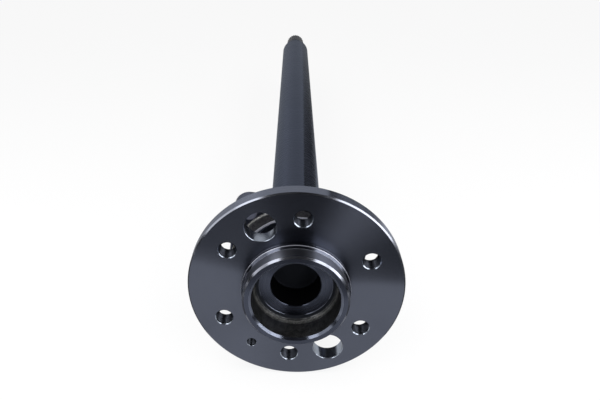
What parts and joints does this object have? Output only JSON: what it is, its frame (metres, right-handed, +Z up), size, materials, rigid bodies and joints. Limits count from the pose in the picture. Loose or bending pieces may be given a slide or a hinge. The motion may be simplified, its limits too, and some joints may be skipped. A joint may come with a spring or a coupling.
{
  "type": "drive shaft",
  "caption": "Flanged rear axle shaft with a splined end, turning in a sealed double-row ball bearing held in a bolted carrier behind its wheel flange.",
  "frame": {"origin": "on the shaft axis, in the face that the brake disc and wheel seat on", "axes": "+Y along the shaft, away from the wheel and towards the differential; +Z up and +X to the right as the wheel face is looked at"},
  "size_m": [0.1739, 0.947, 0.174],
  "materials": {
    "forged_shaft": "forged and turned steel with a grey satin coating, oiled; dark as-forged inside the bowl",
    "forged_carrier": "forged steel, turned on its register and bores, dark where as forged",
    "bearing_steel": "ground bearing steel",
    "ball_steel": "polished bearing steel",
    "sheet_steel": "pressed sheet steel, smooth",
    "sintered_steel": "sintered steel, matt grey",
    "phosphated_steel": "steel, phosphated black and oiled",
    "black_rubber": "moulded nitrile rubber, satin",
    "cage_plastic": "moulded glass-filled polyamide, matt"
  },
  "bodies": {
    "carrier": {"bearing_carrier": "forged_carrier", "bearing_outer_ring": "bearing_steel", "retaining_ring": "phosphated_steel", "register_o_ring": "black_rubber", "seal_case_outboard": "sheet_steel", "seal_case_inboard": "sheet_steel", "seal_lip_outboard": "black_rubber", "seal_lip_inboard": "black_rubber"},
    "shaft": {"axle_shaft": "forged_shaft", "inner_ring_outboard": "bearing_steel", "inner_ring_inboard": "bearing_steel", "seal_slinger_outboard": "sheet_steel", "seal_slinger_inboard": "sheet_steel", "tone_ring": "sintered_steel", "lock_washer": "phosphated_steel", "slotted_nut": "phosphated_steel"},
    "outboard_cage": {"ball_cage_outboard": "cage_plastic", "ball_outboard_01": "ball_steel", "ball_outboard_02": "ball_steel", "ball_outboard_03": "ball_steel", "ball_outboard_04": "ball_steel", "ball_outboard_05": "ball_steel", "ball_outboard_06": "ball_steel", "ball_outboard_07": "ball_steel", "ball_outboard_08": "ball_steel", "ball_outboard_09": "ball_steel", "ball_outboard_10": "ball_steel", "ball_outboard_11": "ball_steel", "ball_outboard_12": "ball_steel", "ball_outboard_13": "ball_steel", "ball_outboard_14": "ball_steel"},
    "inboard_cage": {"ball_cage_inboard": "cage_plastic", "ball_inboard_01": "ball_steel", "ball_inboard_02": "ball_steel", "ball_inboard_03": "ball_steel", "ball_inboard_04": "ball_steel", "ball_inboard_05": "ball_steel", "ball_inboard_06": "ball_steel", "ball_inboard_07": "ball_steel", "ball_inboard_08": "ball_steel", "ball_inboard_09": "ball_steel", "ball_inboard_10": "ball_steel", "ball_inboard_11": "ball_steel", "ball_inboard_12": "ball_steel", "ball_inboard_13": "ball_steel", "ball_inboard_14": "ball_steel"}
  },
  "joints": [
    {"name": "shaft_spin", "type": "hinge", "parent": "carrier", "child": "shaft", "pos_m": [0, 0.064, 0], "axis": [0, 1, 0], "continuous": true},
    {"name": "outboard_cage_spin", "type": "hinge", "parent": "carrier", "child": "outboard_cage", "pos_m": [0, 0.0558, 0], "axis": [0, 1, 0], "continuous": true},
    {"name": "inboard_cage_spin", "type": "hinge", "parent": "carrier", "child": "inboard_cage", "pos_m": [0, 0.0722, 0], "axis": [0, 1, 0], "continuous": true}
  ],
  "couplings": [
    {"joint": "outboard_cage_spin", "follows": "shaft_spin", "ratio": 0.4328},
    {"joint": "inboard_cage_spin", "follows": "shaft_spin", "ratio": 0.4328}
  ]
}
